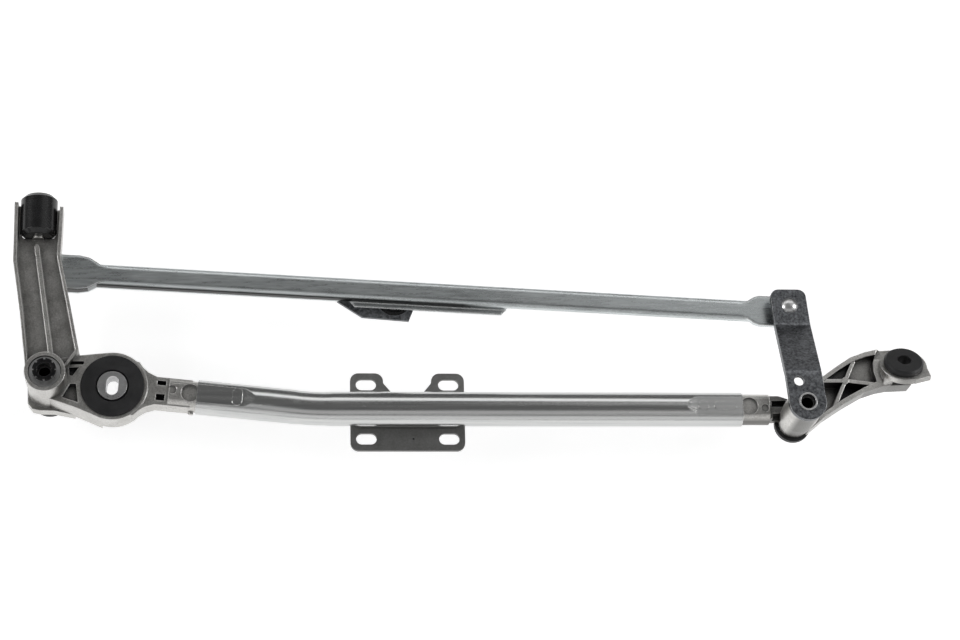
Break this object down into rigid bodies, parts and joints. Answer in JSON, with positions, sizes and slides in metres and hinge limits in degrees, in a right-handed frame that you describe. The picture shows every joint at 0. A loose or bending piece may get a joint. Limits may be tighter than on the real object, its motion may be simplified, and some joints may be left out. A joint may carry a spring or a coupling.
{
  "type": "windscreen wiper linkage",
  "caption": "Windscreen wiper linkage without motor: bent tube frame, two cast spindle housings, cranks, link rod and rubber mounts.",
  "frame": {"origin": "left spindle axis, at the lower end of the straight wiper arm seat", "axes": "+X along the straight frame tube towards the right spindle, +Y from the tube towards the link rod, +Z along the spindles, away from the wiper arm seats"},
  "size_m": [0.6628, 0.1853, 0.1123],
  "materials": {
    "galvanised": "satin",
    "cast_aluminium": "satin",
    "plate_steel": "matt",
    "zinc_dark": "satin",
    "rod_steel": "satin",
    "bright_steel": "polished",
    "black_rubber": "matt",
    "black_plastic": "gloss",
    "bronze": "satin",
    "spring_steel": "satin"
  },
  "bodies": {
    "frame": {"frame_tube": "galvanised", "motor_plate": "plate_steel", "left_housing": "cast_aluminium", "right_housing": "cast_aluminium", "left_grommet": "black_rubber", "left_sleeve": "bright_steel", "right_grommet": "black_rubber", "arm_buffer": "black_plastic", "left_upper_bush": "bronze", "left_lower_bush": "bronze", "right_upper_bush": "bronze", "right_lower_bush": "bronze"},
    "left_drive": {"left_spindle": "bright_steel", "left_crank": "zinc_dark", "left_ball_stud": "bright_steel", "left_circlip": "spring_steel", "left_thrust_washer": "bright_steel", "left_seal_cap": "black_plastic"},
    "right_drive": {"right_spindle": "bright_steel", "right_crank": "zinc_dark", "right_ball_stud": "bright_steel", "right_circlip": "spring_steel", "right_thrust_washer": "bright_steel", "right_seal_cap": "black_plastic"},
    "rod": {"link_rod": "rod_steel", "left_ball_socket": "black_plastic", "right_ball_socket": "black_plastic", "drive_bracket": "zinc_dark", "drive_socket": "black_plastic"}
  },
  "joints": [
    {"name": "left_swing", "type": "hinge", "parent": "frame", "child": "left_drive", "pos_m": [0, 0, 0.031], "axis": [0, 0, 1], "range_deg": [-28, 45]},
    {"name": "right_swing", "type": "hinge", "parent": "frame", "child": "right_drive", "pos_m": [0.53926, -0.02826, 0.1075], "axis": [0, 0, 1], "range_deg": [-28, 45]},
    {"name": "rod_turn", "type": "hinge", "parent": "left_drive", "child": "rod", "pos_m": [0, 0.086, 0.0481], "axis": [0, 0, 1], "range_deg": [-45, 28]}
  ],
  "couplings": [
    {"joint": "right_swing", "follows": "left_swing", "ratio": 1},
    {"joint": "rod_turn", "follows": "left_swing", "ratio": -1}
  ]
}
